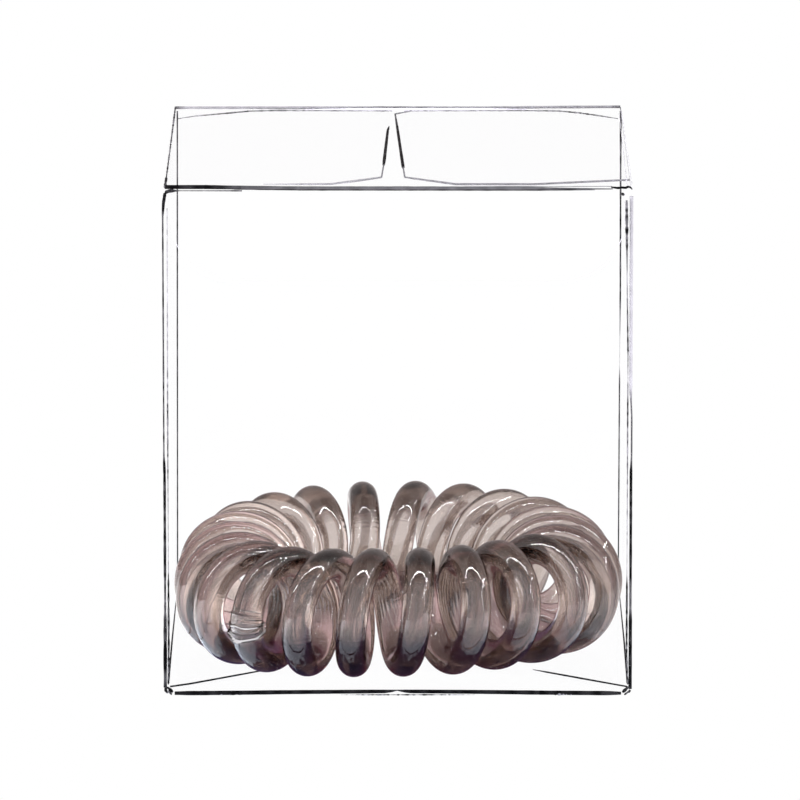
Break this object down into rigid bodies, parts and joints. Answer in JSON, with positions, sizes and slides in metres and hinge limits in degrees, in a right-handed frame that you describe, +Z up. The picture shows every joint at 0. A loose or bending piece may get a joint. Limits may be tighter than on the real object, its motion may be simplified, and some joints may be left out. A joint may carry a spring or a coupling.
{
  "type": "spiral hair tie in a clear tuck box",
  "caption": "Coiled translucent cord closed into a ring for holding hair, resting in its clear folded box with dust flaps and a hinged tuck lid.",
  "frame": {"origin": "centre of the closed box's footprint, on the surface that it stands on", "axes": "+Z up, the box's longest extent; the front wall faces -Y, and the lid's crease is along X at the back, so the lid opens towards +Y"},
  "size_m": [0.0574, 0.0578, 0.0637],
  "materials": {
    "tie_cord": "glossy translucent smoky brown polyurethane",
    "clear_sheet": "crystal clear thin plastic sheet"
  },
  "bodies": {
    "box": {"hair_tie": "tie_cord", "sleeve": "clear_sheet", "bottom_panel": "clear_sheet", "bottom_dust_flap_left": "clear_sheet", "bottom_dust_flap_right": "clear_sheet", "top_dust_flap_left": "clear_sheet", "top_dust_flap_right": "clear_sheet"},
    "lid": {"lid": "clear_sheet"}
  },
  "joints": [
    {"name": "lid_hinge", "type": "hinge", "parent": "box", "child": "lid", "pos_m": [0, 0.02888, 0.0635], "axis": [-1, 0, 0], "range_deg": [0, 180]}
  ]
}
